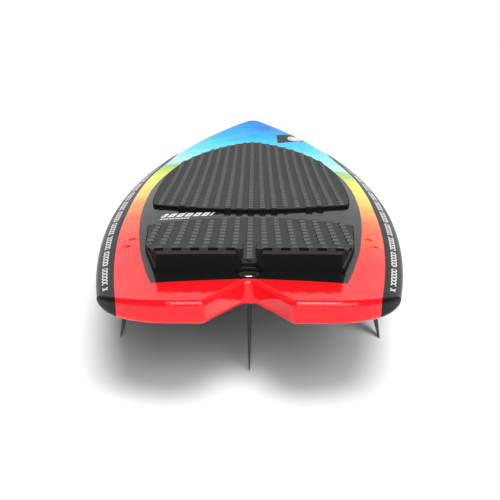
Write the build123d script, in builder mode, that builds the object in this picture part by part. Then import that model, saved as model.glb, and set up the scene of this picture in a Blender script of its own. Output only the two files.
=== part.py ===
from build123d import *
import os
from math import atan, cos, degrees, pi, radians, sin, sqrt, tan

# A short directional board with a wide swallow tail, three fins and a full deck of foam pads.
# Stations are measured along the board from the tail tips. +Y points to the nose, +X to the right
# and +Z up. The origin is on the ground plane under the middle of the board, at the fin tips.

os.makedirs("parts", exist_ok=True)

# Board outline and rocker
length = 1420
width = 542
thickness = 48
nose_thickness = 15
tail_thickness = 29.5
nose_rocker = 95
tail_rocker = 30
wide_station = 650
low_station = 550
deck_low_station = 600
nose_half_width = 8
nose_edge_radius = 8
tail_narrowing = 0.355
apex_share = 0.56
rocker_power = 2.3
bottom_tail_power = 2
deck_tail_power = 4

# Swallow tail, seen from above
tip_outer = 90
tip_inner = 52
notch_depth = 95
notch_radius = 12
tip_radius = 8
tail_corner_radius = 124
tail_corner_sweep = 50
tail_edge_radius = 6

# Laminate, core and stringer
skin = 1.5
tail_rim = 7
lap_below_apex = 5
stringer_thickness = 4

# Foam pads
pad_thickness = 8
front_pad_rear = 461
front_pad_rear_sag = 44
front_pad_wide_station = 700
front_pad_half_width = 200
front_pad_corner_half = 183
front_pad_corner_radius = 14
front_pad_front = 1146
tail_pad_front = 405
tail_pad_front_sag = 47
tail_pad_corner_half = 174
tail_pad_waist_station = 228
tail_pad_waist_half = 157
tail_pad_rear = 122
tail_pad_rear_half = 128
tail_pad_corner_radius = 6
kick_rear_height = 25
kick_rim_height = 31
kick_rim_station = 134
kick_front_station = 222
groove_half_top = 21
groove_half_base = 9
arch_rear_station = 127
arch_rear_height = 11
arch_rim_station = 134
arch_rim_height = 15
groove_gap = 0.3
kick_step = 1.2
arch_front_station = 172

# Fins: a blade, its foot flange, and how it is held
fin_base = 100
fin_depth_side = 104
fin_depth_centre = 110
fin_rake = 36
fin_root_thickness = 7.6
fin_tip_thickness = 2.2
fin_tip_chord = 14
fin_taper_power = 1.8
fin_trailing_edge = 0.8
fin_cant = 6
fin_toe = 2.5
fin_foot_width = 22
fin_foot_thickness = 3
fin_foot_overhang = 6
side_fin_station = 274
side_fin_x = 190
centre_fin_station = 166
bolt_spacing = 38
bolt_diameter = 6
bolt_clearance = 0.2
bolt_head_diameter = 12
bolt_head_height = 3.4
bolt_socket = 4
bolt_socket_depth = 2
bolt_head_recess = 6
bolt_head_gap = 0.5
sleeve_diameter = 18
insert_diameter = 8
insert_depth = 11
boss_wall = 2
thread_gap = 0.03
block_width = 44
block_length = 120

# Centre fin box
box_length = 124
box_width = 32
box_depth = 15
box_corner_radius = 6
tab_length = 100
tab_thickness = 7
tab_depth = 11
tab_gap = 0.15
box_screw_diameter = 5
box_screw_length = 8
box_screw_tilt = 30
box_screw_spacing = 60
box_screw_socket = 2.5
centre_block_length = 162
centre_block_width = 50
centre_block_station = 158

# Leash plug
plug_station = 111
plug_diameter = 27
plug_depth = 17
cup_diameter = 20
cup_depth = 13
cup_floor_radius = 4
plug_bar_diameter = 4
plug_bar_drop = 4
plug_bar_seat = 2

tall = 500


def half_width(station):
    """Half the plan width: a blunt nose on a power curve, then a gently narrowing tail."""
    if station > wide_station:
        ahead = min((station - wide_station) / (length - wide_station), 1)
        return nose_half_width + (width / 2 - nose_half_width) * (1 - ahead**2.25) ** 0.82
    behind = (wide_station - station) / wide_station
    return width / 2 * (1 - tail_narrowing * behind**1.95)


def rise(station, low, at_nose, at_tail, tail_power):
    """Rocker measured from the lowest station, for the nose and for the tail."""
    if station > low:
        return at_nose * ((station - low) / (length - low)) ** rocker_power
    return at_tail * ((low - station) / low) ** tail_power


def bottom_rise(station):
    return rise(station, low_station, nose_rocker, tail_rocker, bottom_tail_power)


def slope(height, station):
    """Slope of a height curve along the board, in degrees."""
    return degrees(atan((height(station + 1) - height(station - 1)) / 2))


def fin_reach(depth, station):
    """How far a fin's tip reaches below the lowest station of the bottom."""
    tilt = radians(slope(bottom_rise, station))
    tip_front = fin_tip_chord / 2 - fin_rake
    return depth * cos(tilt) - tip_front * sin(tilt) - bottom_rise(station)


hull_height = max(
    fin_reach(fin_depth_side, side_fin_station),
    fin_reach(fin_depth_centre, centre_fin_station),
)


def bottom_z(station):
    return hull_height + bottom_rise(station)


def deck_z(station):
    nose_rise = nose_rocker + nose_thickness - thickness
    tail_rise = tail_rocker + tail_thickness - thickness
    lift = rise(station, deck_low_station, nose_rise, tail_rise, deck_tail_power)
    return hull_height + thickness + lift


def apex_z(station):
    return bottom_z(station) + apex_share * (deck_z(station) - bottom_z(station))


def rail_curve(shares, power, half, level, height):
    """Points of one half of a cross-section: a squared ellipse from rail to rail."""
    right = [(half * share, level + height * sqrt(1 - share**power)) for share in shares]
    left = [(-x, z) for x, z in reversed(right[1:])]
    return left + right


def section_plane(station):
    """Upright plane across the board, with its x to the right and its y up."""
    return Plane.XZ.offset(length / 2 - station)


def plan_plane(z=0):
    """Level plane with its y measured from the tail tips."""
    return Plane((0, -length / 2, z))


def side_plane(x=0):
    """Upright plane along the board: x is the station from the tail tips, y is height."""
    return Plane((x, -length / 2, 0), x_dir=(0, 1, 0), z_dir=(1, 0, 0))


def board_blank(inset=0, raised=0):
    """Loft of cross-sections from beyond the tail to the nose, drawn in or raised on the deck."""
    deck_shares = (0, 0.35, 0.6, 0.78, 0.9, 0.965, 0.995, 1)
    bottom_shares = (0, 0.5, 0.8, 0.9, 0.95, 0.98, 0.995, 1)
    tip = length - inset
    start = -30
    count = 22
    body = [start + (tip - start) * sin(pi / 2 * i / count) for i in range(count)]
    nose = [tip - nose_edge_radius * share for share in (1, 0.56, 0.25, 0.08, 0)]
    stations = [s for s in body if s < tip - 1.5 * nose_edge_radius] + nose
    with BuildPart() as blank:
        for station in stations:
            stretched = station * length / tip if station > wide_station else station
            half = half_width(min(stretched, length)) - inset
            from_tip = min((tip - station) / nose_edge_radius, 1)
            rounding = max(sqrt(1 - (1 - from_tip) ** 2), 0.12)
            level = apex_z(station)
            up = (deck_z(station) - inset + raised - level) * rounding
            down = (bottom_z(station) + inset - level) * rounding
            with BuildSketch(section_plane(station)):
                with BuildLine():
                    Spline(*rail_curve(deck_shares, 4.5, half, level, up))
                    Spline(*rail_curve(bottom_shares, 14, half, level, down))
                make_face()
        loft()
    return blank


def tail_plan(inset=0):
    """Plan region that keeps the board ahead of its swallow tail, as a tall prism."""
    far = width
    with BuildPart() as plan:
        with BuildSketch(plan_plane()):
            with BuildLine():
                FilletPolyline(
                    (tip_outer, 0),
                    (tip_inner, 0),
                    (0, notch_depth),
                    (-tip_inner, 0),
                    (-tip_outer, 0),
                    radius=(tip_radius, notch_radius, tip_radius),
                )
                right = JernArc((tip_outer, 0), (1, 0), tail_corner_radius, tail_corner_sweep)
                left = JernArc((-tip_outer, 0), (-1, 0), tail_corner_radius, -tail_corner_sweep)
                corner = right @ 1
                side = corner.Y + (far - corner.X) * tan(radians(tail_corner_sweep))
                Polyline(
                    right @ 1,
                    (far, side),
                    (far, length + side),
                    (-far, length + side),
                    (-far, side),
                    left @ 1,
                )
            make_face()
            if inset:
                offset(amount=-inset, mode=Mode.REPLACE)
        extrude(amount=tall)
    return plan


# Outer shape of the whole board: what the laminate wraps
with BuildPart() as board:
    add(board_blank().part)
    add(tail_plan().part, mode=Mode.INTERSECT)
    tail_zone = board.edges().filter_by_position(Axis.Y, -length / 2 - 1, -length / 2 + notch_depth)
    fillet(tail_zone.filter_by(Axis.Z, reverse=True), radius=tail_edge_radius)

# Inside of the laminate, before pockets are cut into it
with BuildPart() as inside:
    add(board_blank(inset=skin).part)
    add(tail_plan(inset=tail_rim).part, mode=Mode.INTERSECT)

# Everything below the line where the deck laminate laps over the rail
parting_stations = [-60 + (length + 120) * i / 14 for i in range(15)]
with BuildPart() as below_lap:
    with BuildSketch(side_plane(-width)):
        with BuildLine():
            parting = Spline(*[(s, apex_z(s) - lap_below_apex) for s in parting_stations])
            Polyline(parting @ 1, (length + 60, -10), (-60, -10), parting @ 0)
        make_face()
    extrude(amount=2 * width)


def fin_plane(side):
    """Tangent plane of the bottom at a side fin, toed in; its y points forward, its z up."""
    height = bottom_z(side_fin_station)
    base = Plane((side * side_fin_x, side_fin_station - length / 2, height))
    return base.rotated((slope(bottom_z, side_fin_station), 0, side * fin_toe))


def centre_fin_plane():
    base = Plane((0, centre_fin_station - length / 2, bottom_z(centre_fin_station)))
    return base.rotated((slope(bottom_z, centre_fin_station), 0, 0))


def plug_plane():
    base = Plane((0, plug_station - length / 2, deck_z(plug_station)))
    return base.rotated((slope(deck_z, plug_station), 0, 0))


def crown_drop(station, x):
    """How far the domed deck has dropped from its centre line, x from the middle."""
    share = x / half_width(station)
    return (deck_z(station) - apex_z(station)) * (1 - sqrt(1 - share**4.5))


def blade(base, depth, cant):
    """Foil lofted from just above the root to the tip, swept aft and leaning by its cant."""
    with BuildPart() as foil:
        for share in (-0.02, 0.2, 0.4, 0.6, 0.8, 0.93, 1):
            reach = max(share, 0)
            front = fin_base / 2 - (fin_base / 2 + fin_rake - fin_tip_chord / 2) * reach**2
            rear = -fin_base / 2 + (fin_base / 2 - fin_rake - fin_tip_chord / 2) * reach
            rear += fin_base / 9 * sin(pi * reach)
            taper = (fin_root_thickness - fin_tip_thickness) * reach**fin_taper_power
            half = (fin_root_thickness - taper) / 2
            chord = front - rear
            shift = tan(radians(cant)) * depth * share
            widths = ((0, fin_trailing_edge / 2), (0.3, 0.62 * half), (0.65, half), (0.91, 0.72 * half))
            right = [(shift + x, rear + y * chord) for y, x in widths]
            left = [(shift - x, rear + y * chord) for y, x in widths]
            with BuildSketch(base.offset(-depth * share)):
                with BuildLine():
                    Spline(*right, (shift, front))
                    Spline(*left, (shift, front))
                    Line(right[0], left[0])
                make_face()
        loft()
    return foil


def bolt_bars(base, diameter, low, high):
    """Two round bars in a row along the board, between two heights of a side fin's plane."""
    with BuildPart() as bars:
        with BuildSketch(base.offset(low)):
            with GridLocations(1, bolt_spacing, 1, 2):
                Circle(diameter / 2)
        extrude(amount=high - low)
    return bars


def write(part, name):
    part.label = name
    export_step(part, f"parts/{name}.step")


# Side fins and what holds them: the same set on the left and on the right
sleeve_bars = []
block_prisms = []
for side, hand in ((-1, "left"), (1, "right")):
    base = fin_plane(side)
    board_depth = deck_z(side_fin_station) - bottom_z(side_fin_station)
    seat = board_depth - crown_drop(side_fin_station, side_fin_x) - bolt_head_recess
    bore = bolt_diameter + 2 * bolt_clearance
    thread = bolt_diameter + 2 * thread_gap
    sleeve_bar = bolt_bars(base, sleeve_diameter, -20, tall)
    sleeve_bars.append(sleeve_bar.part)

    # Moulded sleeves that carry each bolt's clamping load from deck to bottom
    with BuildPart() as sleeves:
        add(board.part)
        add(sleeve_bar.part, mode=Mode.INTERSECT)
        add(bolt_bars(base, bore, -30, tall).part, mode=Mode.SUBTRACT)
        head_bars = bolt_bars(base, bolt_head_diameter + 2 * bolt_head_gap, seat, tall)
        add(head_bars.part, mode=Mode.SUBTRACT)
    write(sleeves.part, f"{hand}_fin_sleeves")

    # Dense foam let into the core around the sleeves
    with BuildPart() as block_prism:
        with BuildSketch(base.offset(-60)):
            SlotOverall(block_length, block_width, rotation=90)
        extrude(amount=tall)
    block_prisms.append(block_prism.part)
    with BuildPart() as block:
        add(inside.part)
        add(block_prism.part, mode=Mode.INTERSECT)
        add(sleeve_bar.part, mode=Mode.SUBTRACT)
    write(block.part, f"{hand}_fin_block")

    # Brass threads moulded into the root of the fin
    insert_bar = bolt_bars(base, insert_diameter, -insert_depth, 2)
    with BuildPart() as inserts:
        add(insert_bar.part)
        add(board.part, mode=Mode.SUBTRACT)
        add(bolt_bars(base, thread, -insert_depth + 2, 5).part, mode=Mode.SUBTRACT)
    write(inserts.part, f"{hand}_fin_inserts")

    # The fin: blade, foot flange and the bosses around its threads, in one moulding
    with BuildPart() as fin:
        add(blade(base, fin_depth_side, side * fin_cant).part)
        with BuildSketch(base.offset(-fin_foot_thickness)):
            SlotOverall(fin_base + 2 * fin_foot_overhang, fin_foot_width, rotation=90)
        extrude(amount=2 * fin_foot_thickness)
        boss = insert_diameter + 2 * boss_wall
        add(bolt_bars(base, boss, -insert_depth - boss_wall, 1).part)
        add(board.part, mode=Mode.SUBTRACT)
        add(insert_bar.part, mode=Mode.SUBTRACT)
    write(fin.part, f"{hand}_fin")

    # Stainless bolts put in from the deck
    with BuildPart() as bolts:
        add(bolt_bars(base, bolt_diameter, -insert_depth + 3, seat + 1).part)
        add(bolt_bars(base, bolt_head_diameter, seat, seat + bolt_head_height).part)
        with BuildSketch(base.offset(seat + bolt_head_height)):
            with GridLocations(1, bolt_spacing, 1, 2):
                RegularPolygon(bolt_socket / 2, 6)
        extrude(amount=-bolt_socket_depth, mode=Mode.SUBTRACT)
    write(bolts.part, f"{hand}_fin_bolts")

# Centre fin box, let into the bottom, with a slot for the fin's tab
centre = centre_fin_plane()
with BuildPart() as box_pocket:
    with BuildSketch(centre.offset(-20)):
        RectangleRounded(box_width, box_length, box_corner_radius)
    extrude(amount=20 + box_depth)

# Two grub screws lean in from the bottom and press on the tab
screw_reach = box_screw_length * sin(radians(box_screw_tilt))
screw_reach += box_screw_diameter / 2 * cos(radians(box_screw_tilt))
screw_start = tab_thickness / 2 + 2 * tab_gap + screw_reach
screw_planes = []
for place in (-box_screw_spacing / 2, box_screw_spacing / 2):
    mouth = centre.location * Location((screw_start, place, 0), (0, -box_screw_tilt, 0))
    screw_planes.append(Plane(mouth))

with BuildPart() as fin_box:
    add(board.part)
    add(box_pocket.part, mode=Mode.INTERSECT)
    with BuildSketch(centre.offset(-20)):
        Rectangle(tab_thickness + 2 * tab_gap, tab_length + 2 * tab_gap)
    extrude(amount=20 + tab_depth + tab_gap, mode=Mode.SUBTRACT)
    for mouth in screw_planes:
        with BuildSketch(mouth.offset(-10)):
            Circle(box_screw_diameter / 2 + thread_gap)
        extrude(amount=10 + box_screw_length + tab_gap, mode=Mode.SUBTRACT)
write(fin_box.part, "centre_fin_box")

with BuildPart() as grub_screws:
    for mouth in screw_planes:
        with BuildSketch(mouth.offset(1)):
            Circle(box_screw_diameter / 2)
        extrude(amount=box_screw_length - 1)
        with BuildSketch(mouth.offset(1)):
            RegularPolygon(box_screw_socket / 2, 6)
        extrude(amount=bolt_socket_depth, mode=Mode.SUBTRACT)
write(grub_screws.part, "centre_fin_screws")

with BuildPart() as centre_fin:
    add(blade(centre, fin_depth_centre, 0).part)
    add(board.part, mode=Mode.SUBTRACT)
    with BuildSketch(centre.offset(-2)):
        Rectangle(tab_thickness, tab_length)
    extrude(amount=2 + tab_depth)
write(centre_fin.part, "centre_fin")

# Leash plug: a moulded cup flush with the deck, with a steel bar across it
plug = plug_plane()
with BuildPart() as plug_pocket:
    with BuildSketch(plug.offset(-plug_depth)):
        Circle(plug_diameter / 2)
    extrude(amount=plug_depth + 10)

with BuildPart() as plug_bar:
    bar_plane = Plane(plug.location * Location((0, 0, -plug_bar_drop), (0, 90, 0)))
    with BuildSketch(bar_plane):
        Circle(plug_bar_diameter / 2)
    extrude(amount=cup_diameter / 2 + plug_bar_seat, both=True)
write(plug_bar.part, "leash_plug_bar")

with BuildPart() as dish:
    with BuildSketch(plug.offset(-cup_depth)):
        Circle(cup_diameter / 2)
    extrude(amount=cup_depth + 10)
    fillet(dish.edges().sort_by(Axis.Z)[0], radius=cup_floor_radius)

with BuildPart() as plug_cup:
    add(board.part)
    add(plug_pocket.part, mode=Mode.INTERSECT)
    add(dish.part, mode=Mode.SUBTRACT)
    add(plug_bar.part, mode=Mode.SUBTRACT)
write(plug_cup.part, "leash_plug_cup")

# Dense foam on the centre line around the leash plug and the fin box
with BuildPart() as centre_prism:
    with BuildSketch(plan_plane()):
        with Locations((0, centre_block_station)):
            SlotOverall(centre_block_length, centre_block_width, rotation=90)
    extrude(amount=tall)
with BuildPart() as centre_block:
    add(inside.part)
    add(centre_prism.part, mode=Mode.INTERSECT)
    add(box_pocket.part, mode=Mode.SUBTRACT)
    add(plug_pocket.part, mode=Mode.SUBTRACT)
write(centre_block.part, "centre_block")

# Laminate: the deck skin laps over the rail and meets the bottom skin below its apex
with BuildPart() as deck_skin:
    add(board.part)
    add(inside.part, mode=Mode.SUBTRACT)
    add(below_lap.part, mode=Mode.SUBTRACT)
    add(sleeve_bars, mode=Mode.SUBTRACT)
    add(plug_pocket.part, mode=Mode.SUBTRACT)
write(deck_skin.part, "deck_skin")

with BuildPart() as bottom_skin:
    add(board.part)
    add(inside.part, mode=Mode.SUBTRACT)
    add(below_lap.part, mode=Mode.INTERSECT)
    add(sleeve_bars, mode=Mode.SUBTRACT)
    add(box_pocket.part, mode=Mode.SUBTRACT)
write(bottom_skin.part, "bottom_skin")

# Foam core in two halves, glued to a wooden stringer on the centre line
with BuildPart() as stringer:
    add(inside.part)
    add(Box(stringer_thickness, 3 * length, 2 * tall, mode=Mode.PRIVATE), mode=Mode.INTERSECT)
    add(centre_prism.part, mode=Mode.SUBTRACT)
write(stringer.part, "stringer")

for side, hand in ((-1, "left"), (1, "right")):
    with BuildPart() as core:
        add(inside.part)
        face = Plane((side * stringer_thickness / 2, 0, 0), x_dir=(0, 1, 0), z_dir=(side, 0, 0))
        split(bisect_by=face, keep=Keep.TOP)
        add(centre_prism.part, mode=Mode.SUBTRACT)
        add(block_prisms, mode=Mode.SUBTRACT)
    write(core.part, f"{hand}_foam_core")

# Foam pads glued to the deck: sheets cut to a plan shape, with their undersides on the dome
pad_blank = board_blank(raised=pad_thickness)

with BuildPart() as front_pad:
    corner = (front_pad_corner_half, front_pad_rear + front_pad_rear_sag)
    run = front_pad_front - front_pad_wide_station
    back_run = front_pad_wide_station - corner[1]
    shape = ((0.985, -0.5 * back_run), (1, 0), (0.93, 0.42 * run), (0.53, 0.81 * run))
    right = [corner] + [(front_pad_half_width * x, front_pad_wide_station + y) for x, y in shape]
    left = [(-x, y) for x, y in right]
    with BuildSketch(plan_plane()) as front_outline:
        with BuildLine():
            rear_arc = ThreePointArc((-corner[0], corner[1]), (0, front_pad_rear), corner)
            Spline(*right, (0, front_pad_front), *reversed(left))
        make_face()
        rear_corners = front_outline.vertices()
        fillet(rear_corners, radius=front_pad_corner_radius)
    extrude(amount=tall)
    add(pad_blank.part, mode=Mode.INTERSECT)
    add(board.part, mode=Mode.SUBTRACT)
write(front_pad.part, "front_pad")

with BuildPart() as tail_pad_prism:
    with BuildSketch(plan_plane()) as tail_outline:
        with BuildLine():
            shoulder = tail_pad_front - tail_pad_front_sag
            front_arc = ThreePointArc(
                (-tail_pad_corner_half, shoulder),
                (0, tail_pad_front),
                (tail_pad_corner_half, shoulder),
            )
            Polyline(
                (tail_pad_corner_half, shoulder),
                (tail_pad_waist_half, tail_pad_waist_station),
                (tail_pad_rear_half, tail_pad_rear),
                (-tail_pad_rear_half, tail_pad_rear),
                (-tail_pad_waist_half, tail_pad_waist_station),
                (-tail_pad_corner_half, shoulder),
            )
        make_face()
        fillet(tail_outline.vertices(), radius=tail_pad_corner_radius)
    extrude(amount=tall)

with BuildPart() as tail_pad:
    add(tail_pad_prism.part)
    add(pad_blank.part, mode=Mode.INTERSECT)
    add(board.part, mode=Mode.SUBTRACT)
    with BuildSketch(plan_plane()):
        with Locations((0, arch_rear_station)):
            Rectangle(2 * groove_half_base, 100, align=(Align.CENTER, Align.MAX))
    extrude(amount=tall, mode=Mode.SUBTRACT)
write(tail_pad.part, "tail_pad")


def groove(gap):
    """Flared groove along the middle of the kick, drawn in on both sides by a gap."""
    base_level = deck_z(kick_rim_station)
    top_level = base_level + 2 * kick_rim_height
    half_base = groove_half_base - gap
    half_top = groove_half_base + 2 * (groove_half_top - groove_half_base) - gap
    with BuildPart() as wedge:
        with BuildSketch(section_plane(tail_pad_rear - 20)):
            with BuildLine():
                Polyline(
                    (-half_base, base_level - thickness),
                    (half_base, base_level - thickness),
                    (half_base, base_level),
                    (half_top, top_level),
                    (-half_top, top_level),
                    (-half_base, base_level),
                    (-half_base, base_level - thickness),
                )
            make_face()
        extrude(amount=-(kick_front_station - tail_pad_rear + 40))
    return wedge


def ramp(profile):
    """Prism across the board under a side profile, given as stations and heights above the deck."""
    ends = (profile[-1][0], profile[0][0])
    top = [(station, deck_z(station) + height) for station, height in profile]
    foot = [(station, deck_z(station) - thickness / 2) for station in ends]
    with BuildPart() as prism:
        with BuildSketch(side_plane(-width / 2)):
            with BuildLine():
                Polyline(*top, *foot, top[0])
            make_face()
        extrude(amount=width)
    return prism


# Kick: two wedges that rise to a rim over the tail, either side of a groove
mid_station = (kick_rim_station + kick_front_station) / 2
kick_profile = (
    (tail_pad_rear, kick_rear_height),
    (kick_rim_station, kick_rim_height),
    (mid_station, pad_thickness + 0.36 * (kick_rim_height - pad_thickness)),
    (kick_front_station, pad_thickness + kick_step),
)
for side, hand in ((-1, "left"), (1, "right")):
    with BuildPart() as kick:
        add(ramp(kick_profile).part)
        add(tail_pad_prism.part, mode=Mode.INTERSECT)
        add(pad_blank.part, mode=Mode.SUBTRACT)
        add(groove(0).part, mode=Mode.SUBTRACT)
        split(bisect_by=Plane.YZ, keep=Keep.TOP if side > 0 else Keep.BOTTOM)
    write(kick.part, f"{hand}_kick")

# Arch bar: the lower ramp that fills the groove ahead of the leash plug
arch_profile = (
    (arch_rear_station, arch_rear_height),
    (arch_rim_station, arch_rim_height),
    (arch_front_station, pad_thickness + kick_step),
)
with BuildPart() as arch_bar:
    add(ramp(arch_profile).part)
    add(groove(groove_gap).part, mode=Mode.INTERSECT)
    add(pad_blank.part, mode=Mode.SUBTRACT)
write(arch_bar.part, "arch_bar")
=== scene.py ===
import bmesh
import bpy
import numpy as np
from mathutils import Euler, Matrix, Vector


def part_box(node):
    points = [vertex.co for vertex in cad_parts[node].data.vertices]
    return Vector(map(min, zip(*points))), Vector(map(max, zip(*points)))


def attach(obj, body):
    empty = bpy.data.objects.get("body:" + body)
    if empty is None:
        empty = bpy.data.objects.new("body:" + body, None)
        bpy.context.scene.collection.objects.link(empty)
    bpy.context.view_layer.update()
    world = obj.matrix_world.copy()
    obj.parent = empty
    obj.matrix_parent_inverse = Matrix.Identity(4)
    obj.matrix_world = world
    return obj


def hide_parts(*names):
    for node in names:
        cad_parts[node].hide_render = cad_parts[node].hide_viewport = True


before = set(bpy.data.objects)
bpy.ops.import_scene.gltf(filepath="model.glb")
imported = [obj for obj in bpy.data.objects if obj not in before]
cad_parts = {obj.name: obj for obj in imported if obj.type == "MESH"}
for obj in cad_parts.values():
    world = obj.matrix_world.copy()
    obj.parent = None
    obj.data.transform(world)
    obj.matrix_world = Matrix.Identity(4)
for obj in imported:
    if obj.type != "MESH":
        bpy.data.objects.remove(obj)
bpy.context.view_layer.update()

# The whole board as the frame gives it: the pads, fins and paint below are placed from these.
low, high = (np.array(corner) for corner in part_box("deck_skin"))
board_half = high[0]
tail_tip = low[1]


# Camera: a 46 mm lens a little above and behind the tail, looking along the board at the nose.
camera = bpy.data.objects.new("camera", bpy.data.cameras.new("camera"))
camera.data.sensor_width = 36
camera.data.lens = 46.23
camera.location = (0.0073, tail_tip - 0.6883, 0.4373)
camera.rotation_euler = Euler((np.radians(90 - 17.754), 0, np.radians(0.437)))
camera.data.clip_end = 60
bpy.context.collection.objects.link(camera)
bpy.context.scene.camera = camera
bpy.context.scene.view_settings.view_transform = "Standard"


# Studio: a white floor under the fin tips, a room that is bright low down and dim higher up, and
# two broad lights: one from behind the tail and to the right, one overhead.
def new_material(name):
    """An empty node material with its output and one principled shader joined to it."""
    material = bpy.data.materials.new(name)
    material.use_nodes = True
    nodes = material.node_tree.nodes
    nodes.clear()
    output = nodes.new("ShaderNodeOutputMaterial")
    shader = nodes.new("ShaderNodeBsdfPrincipled")
    material.node_tree.links.new(shader.outputs[0], output.inputs[0])
    return material, shader


def piece(name, points, faces, *materials, smooth=True):
    """A mesh object from an array of points and an array of faces, at the origin."""
    mesh = bpy.data.meshes.new(name)
    mesh.from_pydata(points.tolist(), [], faces.tolist())
    for material in materials:
        mesh.materials.append(material)
    mesh.polygons.foreach_set("use_smooth", np.full(len(mesh.polygons), smooth))
    mesh.update()
    made = bpy.data.objects.new(name, mesh)
    bpy.context.collection.objects.link(made)
    return made


floor_paint, floor_shader = new_material("floor_paint")
floor_shader.inputs["Base Color"].default_value = (0.93, 0.93, 0.93, 1)
floor_shader.inputs["Roughness"].default_value = 0.9
floor_shader.inputs["Specular IOR Level"].default_value = 0.1
reach = 40.0
corners = np.array([(-reach, -reach, 0), (reach, -reach, 0), (reach, reach, 0), (-reach, reach, 0)])
floor = piece("floor", corners, np.array([(0, 1, 2, 3)]), floor_paint)

# brightness of the room against the sine of the height above the horizon; the far wall beyond
# the nose is the bright one, the sides and the wall behind the tail are dim
room_levels = ((0.0, 1.0), (0.12, 1.0), (0.18, 0.62), (0.27, 0.38), (0.36, 0.28), (0.46, 0.24), (1.0, 0.30))
world = bpy.data.worlds.new("studio")
world.use_nodes = True
room = world.node_tree
aim = room.nodes.new("ShaderNodeTexCoord")
parts = room.nodes.new("ShaderNodeSeparateXYZ")
levels = room.nodes.new("ShaderNodeValToRGB")
levels.color_ramp.elements.remove(levels.color_ramp.elements[1])
for number, (at, level) in enumerate(room_levels):
    stop = levels.color_ramp.elements.new(at) if number else levels.color_ramp.elements[0]
    stop.position = at
    stop.color = (level, level, level, 1)
room.links.new(aim.outputs["Generated"], parts.inputs[0])
room.links.new(parts.outputs[2], levels.inputs[0])
ahead_only = room.nodes.new("ShaderNodeMapRange")
ahead_only.inputs["From Min"].default_value = 0.35
ahead_only.inputs["From Max"].default_value = 0.85
ahead_only.inputs["To Min"].default_value = 0.26
room.links.new(parts.outputs[1], ahead_only.inputs["Value"])
dimmed = room.nodes.new("ShaderNodeMath")
dimmed.operation = "MULTIPLY"
room.links.new(levels.outputs[0], dimmed.inputs[0])
room.links.new(ahead_only.outputs["Result"], dimmed.inputs[1])
room.links.new(dimmed.outputs[0], room.nodes["Background"].inputs[0])
room.nodes["Background"].inputs[1].default_value = 1.02
bpy.context.scene.world = world


def broad_light(name, source, power, spread):
    """A far light seen as a wide disc, shining from a direction."""
    light = bpy.data.lights.new(name, "SUN")
    light.energy = power
    light.angle = np.radians(spread)
    lamp = bpy.data.objects.new(name, light)
    lamp.location = source
    lamp.rotation_euler = Vector(source).to_track_quat("Z", "Y").to_euler()
    bpy.context.collection.objects.link(lamp)


broad_light("key", (0.95, -2.2, 2.2), 2.5, 60)
broad_light("overhead", (0.3, -0.8, 3.0), 2.3, 36)


# Paint: the laminate's print and clear coat. A colour fade runs from nose to tail through brushed
# streaks, with a black panel under the pads, black rails with a dashed line, and a plain nose badge.
class Nodes:
    """Short ways to add and join shader nodes in one material."""

    def __init__(self, material):
        self.tree = material.node_tree
        place = self.tree.nodes.new("ShaderNodeTexCoord")
        split = self.tree.nodes.new("ShaderNodeSeparateXYZ")
        self.tree.links.new(place.outputs["Object"], split.inputs[0])
        self.place = place.outputs["Object"]
        self.x, self.y, self.z = split.outputs

    def plug(self, socket, value):
        if isinstance(value, bpy.types.NodeSocket):
            self.tree.links.new(value, socket)
        else:
            socket.default_value = value

    def math(self, operation, a, b=0.0, c=0.0):
        node = self.tree.nodes.new("ShaderNodeMath")
        node.operation = operation
        for socket, value in zip(node.inputs, (a, b, c)):
            self.plug(socket, value)
        return node.outputs[0]

    def step(self, value, start, end):
        """0 below start, 1 above end, smooth between."""
        node = self.tree.nodes.new("ShaderNodeMapRange")
        node.interpolation_type = "SMOOTHSTEP"
        self.plug(node.inputs["Value"], value)
        self.plug(node.inputs["From Min"], start)
        self.plug(node.inputs["From Max"], end)
        return node.outputs["Result"]

    def ramp(self, value, stops):
        """Colours, or greys given as one number, at places from 0 to 1."""
        node = self.tree.nodes.new("ShaderNodeValToRGB")
        elements = node.color_ramp.elements
        elements.remove(elements[1])
        for number, (at, colour) in enumerate(stops):
            element = elements.new(at) if number else elements[0]
            element.position = at
            element.color = (colour,) * 3 + (1,) if np.isscalar(colour) else (*colour, 1)
        self.plug(node.inputs[0], value)
        return node.outputs[0]

    def mix(self, share, a, b, blend="MIX"):
        node = self.tree.nodes.new("ShaderNodeMix")
        node.data_type = "RGBA"
        node.blend_type = blend
        for socket, value in zip((node.inputs[0], node.inputs[6], node.inputs[7]), (share, a, b)):
            if isinstance(value, tuple):
                value = (*value, 1)
            self.plug(socket, value)
        return node.outputs[2]

    def noise(self, scale, stretch=(1, 1, 1), turn=0.0, detail=4.0, roughness=0.55):
        """Noise in object space, drawn out by a stretch after a turn about Z."""
        mapping = self.tree.nodes.new("ShaderNodeMapping")
        mapping.vector_type = "TEXTURE"
        mapping.inputs["Rotation"].default_value = (0, 0, turn)
        mapping.inputs["Scale"].default_value = stretch
        self.plug(mapping.inputs[0], self.place)
        node = self.tree.nodes.new("ShaderNodeTexNoise")
        self.plug(node.inputs["Vector"], mapping.outputs[0])
        node.inputs["Scale"].default_value = scale
        node.inputs["Detail"].default_value = detail
        node.inputs["Roughness"].default_value = roughness
        return node.outputs["Fac"]

    def bump(self, height, strength, distance, under=None):
        node = self.tree.nodes.new("ShaderNodeBump")
        node.inputs["Strength"].default_value = strength
        node.inputs["Distance"].default_value = distance
        self.plug(node.inputs["Height"], height)
        if under is not None:
            self.plug(node.inputs["Normal"], under)
        return node.outputs[0]


def linear(red, green, blue):
    """A screen colour of 0 to 255 as linear light."""
    shade = np.array((red, green, blue)) / 255
    return tuple(float(v) for v in np.where(shade < 0.04045, shade / 12.92, ((shade + 0.055) / 1.055) ** 2.4))


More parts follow.
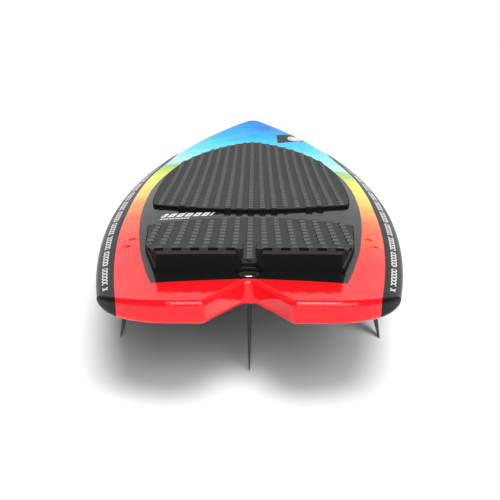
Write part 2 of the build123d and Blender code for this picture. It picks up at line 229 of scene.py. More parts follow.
# Colours of the fade as linear light, at metres from the tail tips
fade = (
    (0.00, (0.95, 0.005, 0.012)),
    (0.20, (0.95, 0.008, 0.014)),
    (0.26, (0.95, 0.030, 0.022)),
    (0.31, (0.95, 0.085, 0.022)),
    (0.40, (0.95, 0.090, 0.008)),
    (0.45, (0.95, 0.200, 0.008)),
    (0.52, (0.95, 0.350, 0.010)),
    (0.60, (0.95, 0.660, 0.030)),
    (0.68, (0.95, 0.860, 0.018)),
    (0.80, (0.90, 0.880, 0.022)),
    (0.835, (0.52, 0.760, 0.060)),
    (0.875, (0.28, 0.680, 0.120)),
    (0.905, (0.52, 0.900, 0.800)),
    (0.96, (0.46, 0.930, 0.950)),
    (1.04, (0.20, 0.880, 0.950)),
    (1.12, (0.05, 0.740, 0.930)),
    (1.22, (0.012, 0.500, 0.920)),
    (1.32, (0.008, 0.370, 0.930)),
    (1.42, (0.006, 0.220, 0.720)),
)
rail_widths = (
    (0.0, 0.879), (0.152, 0.880), (0.35, 0.882), (0.495, 0.880), (0.645, 0.893), (0.794, 0.906),
    (0.902, 0.904), (0.988, 0.903), (1.05, 0.934), (1.15, 1.02), (1.30, 1.08), (1.42, 1.12),
)
panel_widths = (
    (0.060, 0.1235), (0.0753, 0.1256), (0.130, 0.141), (0.227, 0.165), (0.339, 0.1855), (0.42, 0.1975),
    (0.509, 0.207), (0.60, 0.2130), (0.666, 0.215), (0.74, 0.2125), (0.80, 0.2065), (0.882, 0.193),
    (0.95, 0.164), (1.02, 0.120), (1.08, 0.060), (1.11, 0.0),
)
ramp_span = 1.45


def outline_share(n):
    """How far out a point is: 0 on the centre line and 1 on the board's plan outline."""
    station = n.math("SUBTRACT", n.y, tail_tip)
    ahead = n.math("DIVIDE", n.math("MAXIMUM", n.math("SUBTRACT", station, 0.65), 0.0), 0.77)
    behind = n.math("DIVIDE", n.math("MAXIMUM", n.math("SUBTRACT", 0.65, station), 0.0), 0.65)
    nose = n.math("MAXIMUM", n.math("SUBTRACT", 1.0, n.math("POWER", ahead, 2.25)), 0.0)
    nose = n.math("MULTIPLY_ADD", n.math("POWER", nose, 0.82), board_half - 0.008, 0.008)
    tail = n.math("MULTIPLY_ADD", n.math("POWER", behind, 1.95), -0.355, 1.0)
    half = n.math("MULTIPLY", nose, tail)
    return station, n.math("DIVIDE", n.math("ABSOLUTE", n.x), half)


def width_ramp(n, station, widths, scale):
    """A half-width, given at stations, joined by straight lines along the board."""
    stops = [(at / ramp_span, width / scale) for at, width in widths]
    curve = n.ramp(n.math("DIVIDE", station, ramp_span), stops)
    return n.math("MULTIPLY", curve, scale)


def band(n, value, start, end, edge=0.0004):
    """1 between start and end and 0 outside them, with soft edges."""
    above = n.step(value, start - edge, start + edge)
    return n.math("MULTIPLY", above, n.step(value, end + edge, end - edge))


def clear_coat(n, shader, rail):
    """A polished coat over the print, sanded matt on the rail, with faint rubs and a slight ripple."""
    rubs = n.step(n.noise(120, (1, 14, 1), 0.5, 3, 0.5), 0.62, 0.8)
    n.plug(shader.inputs["Roughness"], n.math("MULTIPLY_ADD", rubs, 0.14, 0.36))
    shader.inputs["Specular IOR Level"].default_value = 0.04
    n.plug(shader.inputs["Coat Weight"], n.math("MULTIPLY_ADD", rail, -0.72, 1.0))
    shader.inputs["Coat Roughness"].default_value = 0.04
    shader.inputs["Coat IOR"].default_value = 1.42
    n.plug(shader.inputs["Coat Normal"], n.bump(n.noise(42, (1, 1, 1), 0, 2, 0.5), 0.03, 0.002))


def deck_paint():
    """The printed deck: fade, panel, mark, badge, rails and the rail's dashed line."""
    material, shader = new_material("deck_paint")
    n = Nodes(material)
    station, share = outline_share(n)

    # brushed fade, a little further on at the right: broad strokes move it, fine ones tint it
    broad = n.noise(9, (2.2, 0.75, 1), 0.32, 5, 0.6)
    fine = n.noise(46, (5.5, 0.6, 1), 0.28, 6, 0.65)
    moved = n.math("MULTIPLY_ADD", n.x, 0.2, station)
    moved = n.math("MULTIPLY_ADD", n.math("SUBTRACT", broad, 0.5), 0.14, moved)
    moved = n.math("MULTIPLY_ADD", n.math("SUBTRACT", fine, 0.5), 0.035, moved)
    colour = n.ramp(n.math("DIVIDE", moved, ramp_span), [(at / ramp_span, shade) for at, shade in fade])
    fade_in = n.step(station, 0.24, 0.50)
    strokes = n.math("MULTIPLY", n.math("MULTIPLY", n.step(fine, 0.52, 0.68), 0.8), fade_in)
    colour = n.mix(strokes, colour, n.mix(1.0, colour, (0.66, 0.62, 0.76), "MULTIPLY"))
    light = n.step(n.noise(30, (4.0, 0.55, 1), 0.38, 5, 0.6), 0.56, 0.7)
    colour = n.mix(n.math("MULTIPLY", n.math("MULTIPLY", light, 0.12), fade_in), colour, (1.0, 1.0, 1.0))

    # a deeper blue patch near the nose
    deep = n.math("MULTIPLY", band(n, n.x, 0.012, 0.056, 0.008), band(n, station, 1.294, 1.352, 0.006))
    colour = n.mix(n.math("MULTIPLY", deep, 0.6), colour, (0.06, 0.17, 0.72))

    # black panel under the pads, its rear edge two straight lines
    across = n.math("ABSOLUTE", n.x)
    inside = n.math("SUBTRACT", width_ramp(n, station, panel_widths, 0.25), across)
    rear = n.math("MULTIPLY_ADD", across, 0.135, station)
    panel = n.math("MULTIPLY", n.step(inside, -0.0005, 0.0005), n.step(rear, 0.0917, 0.0927))
    brushed = n.noise(160, (0.25, 5, 1), 0, 3, 0.5)
    colour = n.mix(panel, colour, n.mix(brushed, (0.0040, 0.0050, 0.0050), (0.0085, 0.0095, 0.0095)))

    # a plain mark of slanted bars between the pads, on the left, over a short thin line
    lift = n.math("MULTIPLY_ADD", n.x, -0.12, n.math("SUBTRACT", station, 0.452))
    lean = n.math("MULTIPLY_ADD", lift, -0.25, n.x)
    tooth = n.math("FRACT", n.math("DIVIDE", lean, 0.0150))
    bars = n.math("MULTIPLY", band(n, tooth, 0.14, 0.84, 0.04), band(n, lift, -0.008, 0.016))
    bars = n.math("MULTIPLY", bars, band(n, lean, -0.160, -0.070))
    notch = n.math("MULTIPLY", band(n, tooth, 0.40, 0.58, 0.04), band(n, lift, -0.0015, 0.0095))
    bars = n.math("SUBTRACT", bars, n.math("MULTIPLY", notch, bars))
    line = n.math("MULTIPLY", band(n, lift, -0.023, -0.016), band(n, lean, -0.157, -0.104))
    line = n.math("MULTIPLY", line, band(n, n.math("FRACT", n.math("DIVIDE", lean, 0.0052)), 0.1, 0.8, 0.06))
    colour = n.mix(n.math("MAXIMUM", bars, line), colour, (0.90, 0.90, 0.90))

    # nose badge: a black patch with slanted edges that runs to the rail, and a plain pale oval
    patch_rear = n.math("MULTIPLY_ADD", n.math("SUBTRACT", n.x, 0.0705), -0.4545, station)
    patch_front = n.math("MULTIPLY_ADD", n.math("SUBTRACT", n.x, 0.0734), -0.355, station)
    patch = n.math("MULTIPLY", n.step(n.x, 0.0717, 0.0723), n.step(patch_rear, 1.1542, 1.1552))
    patch = n.math("MULTIPLY", patch, n.step(patch_front, 1.2505, 1.2495))
    colour = n.mix(patch, colour, (0.012, 0.012, 0.013))
    oval_x = n.math("ABSOLUTE", n.math("DIVIDE", n.math("SUBTRACT", n.x, 0.124), 0.0205))
    oval_y = n.math("ABSOLUTE", n.math("DIVIDE", n.math("SUBTRACT", station, 1.214), 0.027))
    oval = n.math("ADD", n.math("POWER", oval_x, 2.6), n.math("POWER", oval_y, 2.6))
    colour = n.mix(n.step(oval, 1.0, 0.93), colour, (0.85, 0.86, 0.87))
    colour = n.mix(n.math("MULTIPLY", band(n, oval, 0.32, 0.60, 0.03), 0.5), colour, (0.1, 0.1, 0.11))

    # black rails: a sharp edge on the deck, then all of the side
    edge = width_ramp(n, station, rail_widths, 1.2)
    rail = n.step(n.math("SUBTRACT", share, edge), -0.0015, 0.0015)
    tone = n.noise(34, (1, 6, 1), 0, 4, 0.6)
    colour = n.mix(rail, colour, n.mix(tone, (0.0045, 0.0045, 0.005), (0.011, 0.011, 0.012)))

    # dashed line down the middle of the rail band: rounded cells in short runs
    middle = n.math("MULTIPLY_ADD", edge, 0.5, 0.5)
    off = n.math("ABSOLUTE", n.math("DIVIDE", n.math("SUBTRACT", share, middle), 0.020))
    cell = n.math("FRACT", n.math("DIVIDE", station, 0.0135))
    loop = n.math("ABSOLUTE", n.math("MULTIPLY_ADD", cell, 2.0, -1.0))
    radius = n.math("ADD", n.math("POWER", off, 3.0), n.math("POWER", loop, 3.0))
    dashes = n.math("MULTIPLY", n.step(radius, 0.9, 0.75), n.step(radius, 0.14, 0.25))
    dashes = n.math("MULTIPLY", dashes, n.step(n.math("FRACT", n.math("DIVIDE", station, 0.086)), 0.88, 0.86))
    dashes = n.math("MULTIPLY", dashes, n.step(station, 0.06, 0.066))
    dashes = n.math("MULTIPLY", dashes, n.step(station, 1.02, 0.80))
    colour = n.mix(n.math("MULTIPLY", dashes, 0.9), colour, (0.86, 0.86, 0.86))

    n.plug(shader.inputs["Base Color"], colour)
    clear_coat(n, shader, rail)
    return material


def bottom_paint():
    """Black underneath, with the deck's red carried round the upright faces of the tail."""
    material, shader = new_material("bottom_paint")
    n = Nodes(material)
    station, share = outline_share(n)
    facing = n.tree.nodes.new("ShaderNodeNewGeometry")
    tilt = n.tree.nodes.new("ShaderNodeSeparateXYZ")
    n.plug(tilt.inputs[0], facing.outputs["Normal"])
    upright = n.step(tilt.outputs[2], -0.80, -0.74)
    rail = n.step(share, 0.8785, 0.8805)
    tail = n.math("MULTIPLY", n.step(station, 0.145, 0.14), n.step(share, 0.8805, 0.8785))
    tone = n.noise(34, (1, 6, 1), 0, 4, 0.6)
    black = n.mix(tone, (0.0045, 0.0045, 0.005), (0.013, 0.013, 0.014))
    n.plug(shader.inputs["Base Color"], n.mix(n.math("MULTIPLY", upright, tail), black, fade[0][1]))
    clear_coat(n, shader, rail)
    return material


def dress(node, material):
    """Gives a carried-over CAD node its finish."""
    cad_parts[node].data.materials.clear()
    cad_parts[node].data.materials.append(material)


deck_finish = deck_paint()
dress("deck_skin", deck_finish)
dress("bottom_skin", bottom_paint())


# Foam pads: sheets of firm closed-cell foam glued to the domed deck. Each is a base sheet with a
# black cut edge, and ribs along the board made of raised blocks with a sloping rear end.
def domed_deck(x, station):
    """Deck height in metres: rocker along the board, then a squared-ellipse drop to the rails."""
    nose = np.clip(station - 0.60, 0, None) / 0.82
    tail = np.clip(0.60 - station, 0, None) / 0.60
    centre = deck_low + 0.062 * nose**2.3 + 0.0115 * tail**4
    under_nose = np.clip(station - 0.55, 0, None) / 0.87
    under_tail = np.clip(0.55 - station, 0, None) / 0.55
    bottom = deck_low - 0.048 + 0.095 * under_nose**2.3 + 0.030 * under_tail**2
    ahead = np.clip((station - 0.65) / 0.77, 0, 1)
    behind = np.clip((0.65 - station) / 0.65, 0, None)
    nose_half = 0.008 + (board_half - 0.008) * (1 - ahead**2.25) ** 0.82
    half = np.where(station > 0.65, nose_half, board_half * (1 - 0.355 * behind**1.95))
    upper = 0.44 * (centre - bottom)
    return centre - upper * (1 - np.sqrt(1 - np.clip(np.abs(x) / half, 0, 1) ** 4.5))


deck_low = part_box("bottom_skin")[0][2] + 0.048
block_width = 0.0100
sheet_height = 0.0052
block_height = 0.0027


def foam(name, shade):
    """Closed-cell foam: fine darker pores, pale scuffs and patches of tone, spread at random over the whole
    piece.
    """
    material, shader = new_material(name)
    n = Nodes(material)
    pores = n.noise(1500, (1, 1, 1), 0, 3, 0.6)
    patches = n.noise(14, (1, 1.6, 1), 0.2, 4, 0.6)
    scuffs = n.noise(240, (1, 3, 1), 0.1, 4, 0.7)
    colour = n.mix(patches, tuple(v * 0.88 for v in shade), tuple(v * 1.12 for v in shade))
    colour = n.mix(n.math("MULTIPLY", n.step(scuffs, 0.5, 0.75), 0.25), colour, tuple(v * 1.7 for v in shade))
    colour = n.mix(n.math("MULTIPLY", pores, 0.3), colour, tuple(v * 0.5 for v in shade))
    n.plug(shader.inputs["Base Color"], colour)
    shader.inputs["Roughness"].default_value = 0.85
    shader.inputs["Specular IOR Level"].default_value = 0.2
    n.plug(shader.inputs["Normal"], n.bump(pores, 0.35, 0.0004, n.bump(scuffs, 0.2, 0.0006)))
    return material


sheet_foam = foam("sheet_foam", (0.056, 0.056, 0.057))
block_foam = foam("block_foam", (0.060, 0.060, 0.062))
# the blocks' sloping rear ends get their own copy of the foam, twice as light as the tops: a painted
# highlight where they face the key light
painted_lit_slope_foam = foam("painted_lit_slope_foam", (0.115, 0.115, 0.118))
# the cut edges are near-black foam; the faint red in this colour is painted bounce light from the red deck
edge_foam = foam("edge_foam", (0.0045, 0.0038, 0.0038))
# the crest bevels get a darker copy of the pad foam with a red tint; the red tint is painted bounce light
# from the red deck
crest_red_bounce_foam = foam("crest_red_bounce_foam", (0.030, 0.0235, 0.0225))


def outline_loop(columns, rows):
    """Indices of a grid's border, in order, anticlockwise seen from above."""
    cell = np.arange(columns * rows).reshape(columns, rows)
    return np.concatenate([cell[:-1, 0], cell[-1, :-1], cell[:0:-1, -1], cell[0, :0:-1]])


def tidy_mesh(made):
    """Merges doubled points, closes straight-cut ends and turns every face outwards."""
    work = bmesh.new()
    work.from_mesh(made.data)
    bmesh.ops.remove_doubles(work, verts=work.verts, dist=2e-5)
    bmesh.ops.dissolve_degenerate(work, edges=work.edges, dist=1e-6)
    bmesh.ops.holes_fill(work, edges=work.edges, sides=8)
    bmesh.ops.recalc_face_normals(work, faces=work.faces)
    work.to_mesh(made.data)
    work.free()


def sheet(name, lower, upper, half, rim=0.0018, columns=121, rows=90):
    """A glued sheet: columns across the board, each running from a lower to an upper outline
    curve; a small rounded rim joins the top to the deck, which the underside lies on."""
    turn = np.linspace(-np.pi / 2, np.pi / 2, columns)
    x = half * np.sin(turn)
    start, end = lower(np.abs(x)), upper(np.abs(x))
    # rim rings: distance drawn in from the outline, and the share of the height there
    ring = np.array([(0, 0), (0, 0.80), (0.29, 0.95), (1, 1)])
    share = np.linspace(0, 1, rows)
    share = 0.5 - 0.5 * np.cos(np.pi * share)
    grid_x = np.repeat(x[:, None], rows, 1)
    grid_y = start[:, None] + (end - start)[:, None] * share[None, :]
    centre_y = 0.5 * (start.mean() + end.mean())
    long_reach = 0.5 * (grid_y.max() - grid_y.min())
    layers = []
    for inward, up in ring:
        pull_x = grid_x * (1 - inward * rim / half)
        pull_y = grid_y + (centre_y - grid_y) * (inward * rim / long_reach)
        level = domed_deck(pull_x, pull_y) + up * sheet_height
        layers.append(np.stack((pull_x, pull_y + tail_tip, level), -1))
    loop = outline_loop(columns, rows)
    count = columns * rows
    top = layers[-1].reshape(-1, 3)
    base = layers[0].reshape(-1, 3) - (0, 0, 0.0004)
    rings = [layer.reshape(-1, 3)[loop] for layer in layers[1:-1]]
    points = np.concatenate([top, base, *rings])
    cell = np.arange(count).reshape(columns, rows)
    quads = np.stack((cell[:-1, :-1], cell[1:, :-1], cell[1:, 1:], cell[:-1, 1:]), -1).reshape(-1, 4)
    first_ring = 2 * count + np.arange(len(loop))
    steps = [loop + count, first_ring, first_ring + len(loop), loop]
    walls = []
    for under, over in zip(steps[:-1], steps[1:]):
        walls.append(np.stack((under, np.roll(under, -1), np.roll(over, -1), over), -1))
    faces = np.concatenate([quads, quads[:, ::-1] + count, *walls])
    made = piece(name, points, faces, sheet_foam, edge_foam)
    black = np.arange(len(faces)) >= 2 * len(quads)
    made.data.polygons.foreach_set("material_index", black.astype(np.int32))
    tidy_mesh(made)
    return made


def box_faces(count):
    """Faces of boxes of three rings of four points: lower sides, upper sides, top and base."""
    side = np.array([(0, 1, 5, 4), (1, 2, 6, 5), (2, 3, 7, 6), (3, 0, 4, 7)])
    shell = np.concatenate([side, side + 4, [(8, 9, 10, 11)], [(3, 2, 1, 0)]])
    return (np.arange(count)[:, None, None] * 12 + shell[None]).reshape(-1, 4)


def blocks(name, lower, upper, half, height, rib_pitch, row_pitch, first_row, inset=0.004):
    """Ribs of raised blocks on two pitches. A block rises over a slope at its rear end, is flat on
    top and square in front; the blocks at the outline are cut to it."""
    ribs = np.arange(-int(half / rib_pitch) - 1, int(half / rib_pitch) + 2) * rib_pitch
    rear, front = lower(np.array([0, half])).min() - 0.04, upper(np.zeros(1))[0] + 0.04
    counts = np.arange(np.floor((rear - first_row) / row_pitch), (front - first_row) / row_pitch)
    rows = first_row + counts * row_pitch
    place_x, place_y = (a.ravel() for a in np.meshgrid(ribs, rows, indexing="ij"))
    # template rings, as half-width, rear and front from the slope's middle, and height
    a, slope, block_length = block_width / 2, 0.0062, row_pitch * 0.82
    nose = block_length - slope / 2
    foot = (a, -slope / 2 - 0.0006, nose, -0.3)
    sill = (a - 0.0002, -slope / 2, nose, 0.1)
    crown = (a - 0.0009, slope / 2, nose - 0.0010, 1.0)
    template = np.array([(sx * w, r if sy < 0 else f, up)
                         for w, r, f, up in (foot, sill, crown)
                         for sx, sy in ((-1, -1), (1, -1), (1, 1), (-1, 1))])
    x = place_x[:, None] + template[None, :, 0]
    y = place_y[:, None] + template[None, :, 1]
    safe = np.clip(np.abs(x), 0, half * 0.9999)
    floor_y = lower(safe) + inset
    clipped = np.clip(y, floor_y, np.maximum(upper(safe) - inset, floor_y))
    length = clipped[:, [2, 3, 10, 11]].mean(1) - clipped[:, [0, 1, 8, 9]].mean(1)
    keep = (length > 0.0045) & (np.abs(x).max(1) < half - 0.5 * inset)
    keep &= (np.ptp(clipped[:, 8:12], axis=1) > 0.003)
    x, y = x[keep], clipped[keep]
    level = domed_deck(x, y) + height(np.abs(x), y) + template[None, :, 2] * block_height
    points = np.stack((x, y + tail_tip, level), -1).reshape(-1, 3)
    made = piece(name, points, box_faces(len(x)), block_foam, painted_lit_slope_foam, smooth=False)
    # the sloping rear face of each block takes the lighter foam copy, a painted highlight
    rear_slope = 4
    sloping = np.arange(len(made.data.polygons)) % len(box_faces(1)) == rear_slope
    made.data.polygons.foreach_set("material_index", sloping.astype(np.int32))
    return made


# Front pad: a dome-fronted sheet under the front foot, its rear edge bowed towards the tail.
def front_lower(x):
    """Rear edge: a shallow parabola, then a quarter ellipse up each side."""
    bow = 0.461 + 0.044 * (x / 0.183) ** 2
    side = np.clip((x - 0.183) / 0.017, 0, 1)
    return np.where(x < 0.183, bow, 0.700 - 0.195 * np.sqrt(1 - side**2))


def front_upper(x):
    """Dome: a power curve from the widest point to the front."""
    return 0.700 + 0.446 * (1 - np.clip(x / 0.200, 0, 1) ** 1.35) ** 0.38


def flat_sheet(x, y):
    """The sheet's own thickness everywhere."""
    return np.full(np.broadcast(x, y).shape, sheet_height)


def declare(made, node):
    """A foam piece stands for its CAD node on the board."""
    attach(made, "root")
    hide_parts(node)


declare(sheet("front_pad_sheet", front_lower, front_upper, 0.200), "front_pad")
front_rib_pitch, front_row_pitch, front_first_row = 0.02166, 0.0194, 0.4658
front_blocks = blocks("front_pad_blocks", front_lower, front_upper, 0.200, flat_sheet,
                      front_rib_pitch, front_row_pitch, front_first_row)
declare(front_blocks, "front_pad")


# Tabs: nine small black foam boxes at the front pad's rear edge, in line with its ribs.
def tabs():
    """Small boxes with rounded-off tops, one for each named rib, half under the sheet's edge."""
    middle = np.array([-6, -5, -2, -1, 0, 1, 2, 5, 6]) * front_rib_pitch
    a, rear, front = 0.0064, -0.0050, 0.0030
    template = np.array([(sx * (a - draw), (rear + draw if sy < 0 else front), up)
                         for draw, up in ((0, 0.0), (0, 0.0056), (0.0012, 0.0068))
                         for sx, sy in ((-1, -1), (1, -1), (1, 1), (-1, 1))])
    x = middle[:, None] + template[None, :, 0]
    y = front_lower(np.abs(middle))[:, None] + template[None, :, 1]
    points = np.stack((x, y + tail_tip, domed_deck(x, y) + template[None, :, 2] - 0.0002), -1).reshape(-1, 3)
    declare(piece("front_pad_tabs", points, box_faces(len(middle)), edge_foam, smooth=False), "front_pad")


tabs()


# Tail pad: a sheet under the back foot, narrower at the rear, with two straight lines each side.
def tail_lower(x):
    """Rear edge, then the two straight sides."""
    waist = 0.122 + (x - 0.128) / 0.029 * 0.106
    shoulder = 0.228 + (x - 0.157) / 0.017 * 0.130
    return np.where(x < 0.128, 0.123, np.where(x < 0.157, waist, shoulder))


def tail_upper(x):
    """Front edge: a shallow parabola."""
    return 0.405 - 0.047 * (x / 0.174) ** 2


def kick_height(y):
    """Top of a kick above the deck: a bevel up to the crest, then a ramp that eases off forward."""
    bevel = 0.0250 + 0.006 * np.clip((y - 0.122) / 0.012, 0, 1)
    ramp = 0.0092 + 0.0218 * np.clip((0.222 - y) / 0.088, 0, 1) ** 1.6
    return np.where(y < 0.134, bevel, np.where(y < 0.222, ramp, 0.0092 - block_height))


def arch_height(y):
    """Top of the arch above the deck: the same, but lower and shorter."""
    bevel = 0.011 + 0.004 * np.clip((y - 0.127) / 0.007, 0, 1)
    return np.where(y < 0.134, bevel, 0.0081 + 0.0069 * np.clip((0.172 - y) / 0.038, 0, 1) ** 1.3)


def groove_half(lift):
    """Half-width of the groove between the kicks, wider the higher it is above the deck."""
    return 0.009 + 0.012 * np.clip((lift - 0.012) / 0.019, 0, 1)


def tail_surface(x, y):
    """Foam underfoot, less the blocks: arch in the groove, kick beside it, sheet ahead."""
    ramp = np.where(y < 0.222, kick_height(y) - 0.6 * block_height, sheet_height)
    low = np.where(y < 0.172, arch_height(y) - 0.6 * block_height, sheet_height)
    return np.where(x < 0.0105, low, ramp)


def block_rear(x):
    """Where the blocks stop behind: before the crest, or the pad's sides further out."""
    return np.maximum(np.where(x < 0.0105, 0.146, 0.158), tail_lower(x))


declare(sheet("tail_pad_sheet", tail_lower, tail_upper, 0.1735), "tail_pad")
tail_rib_pitch, tail_row_pitch, tail_first_row = 0.0220, 0.0186, 0.1677
tail_blocks = blocks("tail_pad_blocks", block_rear, tail_upper, 0.1735, tail_surface,
                     tail_rib_pitch, tail_row_pitch, tail_first_row)
declare(tail_blocks, "tail_pad")


# Kicks: two foam wedges with an upright black rear face, a bevelled crest with slots cut in it, and
# an inner end cut back to leave the groove.
slot_half, slot_pitch, slot_depth = 0.00615, 0.0244, 0.0045
slot_rear, slot_front = 0.1285, 0.1365


def kick(side, node):
    """A grid of lines along and across the wedge, drawn down to the deck at its border. The lines
    across are pulled in to the groove and the outer end, and dropped inside each slot."""
    middles = np.arange(1, 6) * slot_pitch
    edges = np.concatenate([middles - slot_half, middles + slot_half])
    x_line = np.unique(np.concatenate([np.linspace(0.009, 0.150, 48), edges, edges - 0.0003, edges + 0.0003]))
    stops = np.array([slot_rear - 0.0002, slot_rear, slot_front, slot_front + 0.0002, 0.134, 0.1245])
    station = np.unique(np.concatenate([np.linspace(0.122, 0.2215, 44), stops]))
    lift = kick_height(station)
    outer = 0.1240 + (station - 0.122) / 0.106 * 0.029
    x = np.clip(x_line[:, None], groove_half(lift)[None, :], outer[None, :])
    nearest = np.abs(x - np.clip(np.round(x / slot_pitch), 1, 5) * slot_pitch)
    along_slot = (station >= slot_rear) & (station <= slot_front)
    in_slot = (nearest <= slot_half + 1e-6) & along_slot[None, :]
    level = domed_deck(x, station[None, :]) + lift[None, :] - slot_depth * in_slot
    y = np.broadcast_to(station[None, :] + tail_tip, x.shape)
    top = np.stack((side * x, y, level), -1)
    foot_x = np.clip(x_line[:, None], 0.009, outer[None, :])
    raised = 0.011 * np.clip((0.021 - foot_x) / 0.012, 0, 1) - 0.0003
    foot = np.stack((side * foot_x, y, domed_deck(foot_x, station[None, :]) + raised), -1)
    n_a, n_s = x.shape
    points = np.concatenate([top.reshape(-1, 3), foot.reshape(-1, 3)])
    cell = np.arange(n_a * n_s).reshape(n_a, n_s)
    quads = np.stack((cell[:-1, :-1], cell[1:, :-1], cell[1:, 1:], cell[:-1, 1:]), -1).reshape(-1, 4)
    loop = outline_loop(n_a, n_s)
    wall = np.stack((loop + n_a * n_s, np.roll(loop, -1) + n_a * n_s, np.roll(loop, -1), loop), -1)
    faces = np.concatenate([quads, quads[:, ::-1] + n_a * n_s, wall])
    made = piece(node + "_wedge", points, faces, sheet_foam, edge_foam, crest_red_bounce_foam, smooth=False)
    # faces on the bevel below the crest take the darker, red-tinted foam: painted red bounce light from the
    # deck
    crest = (station[:-1] < 0.1335)[None, :] & np.ones((n_a - 1, 1), bool)
    sunk = in_slot[:-1, :-1] | in_slot[1:, :-1] | in_slot[1:, 1:] | in_slot[:-1, 1:]
    tone = np.where(sunk, 1, np.where(crest, 2, 0)).ravel()
    tone = np.concatenate([tone, np.ones(len(quads) + len(wall), int)]).astype(np.int32)
    made.data.polygons.foreach_set("material_index", tone)
    tidy_mesh(made)
    declare(made, node)


kick(-1, "left_kick")
kick(1, "right_kick")


# Arch bar: the low ramp in the groove between the kicks, with its own slot and black rear face.
def arch():
    """A straight-sided bar: its section rings follow the arch's height along the board."""
    station = np.array([0.127, 0.1285, 0.1287, 0.1338, 0.134, 0.140,
                        0.148, 0.156, 0.164, 0.172, 0.190, 0.214])
    lift = np.where(station > 0.172, sheet_height + 0.0005, arch_height(station))
    lift = lift - np.where((station > 0.1286) & (station < 0.1339), 0.0020, 0)
    half = groove_half(lift) - 0.0003
    rows = []
    for share, up in ((-1, 0), (-1, 1), (-0.33, 1), (0.33, 1), (1, 1), (1, 0)):
        level = domed_deck(0 * station, station) + up * lift - 0.0002
        rows.append(np.stack((share * half, station + tail_tip, level), -1))
    top = np.array(rows)
    cell = np.arange(top.shape[0] * top.shape[1]).reshape(top.shape[:2])
    ring = np.concatenate([cell, cell[:1]])
    quads = np.stack((ring[:-1, :-1], ring[1:, :-1], ring[1:, 1:], ring[:-1, 1:]), -1)
    tone = np.zeros(quads.shape[:2], np.int32)
    # the arch's crest faces take the darker, red-tinted foam: painted red bounce light from the deck
    tone[1:4, :4] = 2
    tone[2, 2] = 1
    ends = np.stack((cell[::-1, 0], cell[:, -1]))
    quads, tone = quads.reshape(-1, 4), tone.ravel()
    made = piece("arch_bar_ramp", top.reshape(-1, 3), quads, sheet_foam, edge_foam, crest_red_bounce_foam, smooth=False)
    made.data.polygons.foreach_set("material_index", tone)
    work = bmesh.new()
    work.from_mesh(made.data)
    work.verts.ensure_lookup_table()
    for end in ends:
        work.faces.new([work.verts[i] for i in end]).material_index = 1
    bmesh.ops.recalc_face_normals(work, faces=work.faces)
    work.to_mesh(made.data)
    work.free()
    declare(made, "arch_bar")


arch()


# Fins: moulded composite blades, the outer pair smoke grey and the centre one near black.
def composite(name, dark, pale):
    """Chopped-fibre moulding: soft mottling, faint flow lines and a satin face."""
    material, shader = new_material(name)
    n = Nodes(material)
    flow = n.noise(60, (1, 1, 5), 0.2, 4, 0.6)
    n.plug(shader.inputs["Base Color"], n.mix(flow, dark, pale))
    n.plug(shader.inputs["Roughness"], n.math("MULTIPLY_ADD", flow, 0.2, 0.28))
    n.plug(shader.inputs["Normal"], n.bump(n.noise(420, (1, 1, 3), 0, 3, 0.6), 0.12, 0.0004))
    return material


side_finish = composite("side_fin_composite", linear(104, 104, 106), linear(132, 132, 134))
dress("left_fin", side_finish)
dress("right_fin", side_finish)
dress("centre_fin", composite("centre_fin_composite", linear(30, 30, 31), linear(54, 54, 55)))


# Hardware: stainless bolts and leash bar, brass threads, moulded sleeves coloured like the deck
# round them, and a black moulded leash cup and fin box.
def metal(name, colour, roughness):
    """Turned metal with fine scratches."""
    material, shader = new_material(name)
    n = Nodes(material)
    scratches = n.noise(900, (1, 8, 1), 0.4, 3, 0.6)
    n.plug(shader.inputs["Base Color"], n.mix(scratches, tuple(v * 0.86 for v in colour), colour))
    n.plug(shader.inputs["Roughness"], n.math("MULTIPLY_ADD", scratches, 0.2, roughness))
    shader.inputs["Metallic"].default_value = 1.0
    return material


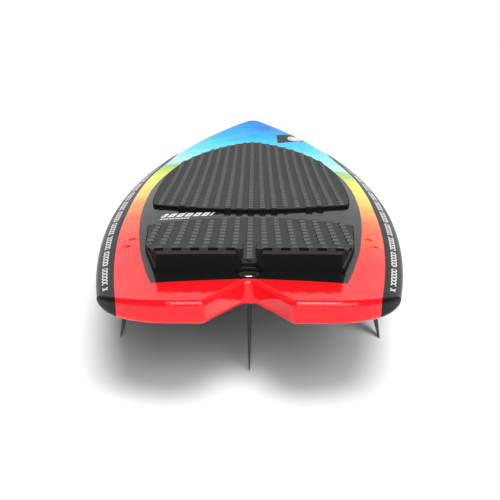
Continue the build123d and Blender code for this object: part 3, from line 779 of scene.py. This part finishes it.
def moulded(name, colour):
    """Black moulded plastic with a fine grain."""
    material, shader = new_material(name)
    n = Nodes(material)
    grain = n.noise(1400, (1, 1, 1), 0, 2, 0.6)
    dark, pale = tuple(v * 0.8 for v in colour), tuple(v * 1.3 for v in colour)
    n.plug(shader.inputs["Base Color"], n.mix(grain, dark, pale))
    shader.inputs["Roughness"].default_value = 0.6
    n.plug(shader.inputs["Normal"], n.bump(grain, 0.15, 0.0003))
    return material


stainless = metal("stainless", (0.80, 0.80, 0.79), 0.14)
brass = metal("brass", (0.78, 0.58, 0.27), 0.25)
black_moulding = moulded("black_moulding", (0.016, 0.016, 0.017))
for node in ("left_fin_bolts", "right_fin_bolts", "leash_plug_bar", "centre_fin_screws"):
    dress(node, stainless)
for node in ("left_fin_inserts", "right_fin_inserts"):
    dress(node, brass)
for node in ("leash_plug_cup", "centre_fin_box"):
    dress(node, black_moulding)
for node in ("left_fin_sleeves", "right_fin_sleeves"):
    dress(node, deck_finish)


# Core: bead foam halves, a plywood stringer and dense foam blocks, all sealed inside the laminate.
def bead_foam(name, colour):
    """Expanded beads: pale cells with darker joints."""
    material, shader = new_material(name)
    n = Nodes(material)
    cells = n.tree.nodes.new("ShaderNodeTexVoronoi")
    n.plug(cells.inputs["Vector"], n.place)
    cells.inputs["Scale"].default_value = 320
    joint = tuple(v * 0.8 for v in colour)
    n.plug(shader.inputs["Base Color"], n.mix(cells.outputs["Distance"], colour, joint))
    shader.inputs["Roughness"].default_value = 0.75
    n.plug(shader.inputs["Normal"], n.bump(cells.outputs["Distance"], 0.3, 0.0006))
    return material


def plywood(name):
    """Layers along the board with a fine grain."""
    material, shader = new_material(name)
    n = Nodes(material)
    grain = n.noise(90, (0.3, 12, 1), 0, 5, 0.6)
    n.plug(shader.inputs["Base Color"], n.mix(grain, (0.50, 0.35, 0.19), (0.76, 0.60, 0.40)))
    shader.inputs["Roughness"].default_value = 0.6
    n.plug(shader.inputs["Normal"], n.bump(grain, 0.2, 0.0004))
    return material


core_foam = bead_foam("core_foam", (0.93, 0.93, 0.90))
dense_foam = bead_foam("dense_foam", (0.74, 0.66, 0.44))
for node in ("left_foam_core", "right_foam_core"):
    dress(node, core_foam)
for node in ("left_fin_block", "right_fin_block", "centre_block"):
    dress(node, dense_foam)
dress("stringer", plywood("stringer_plywood"))
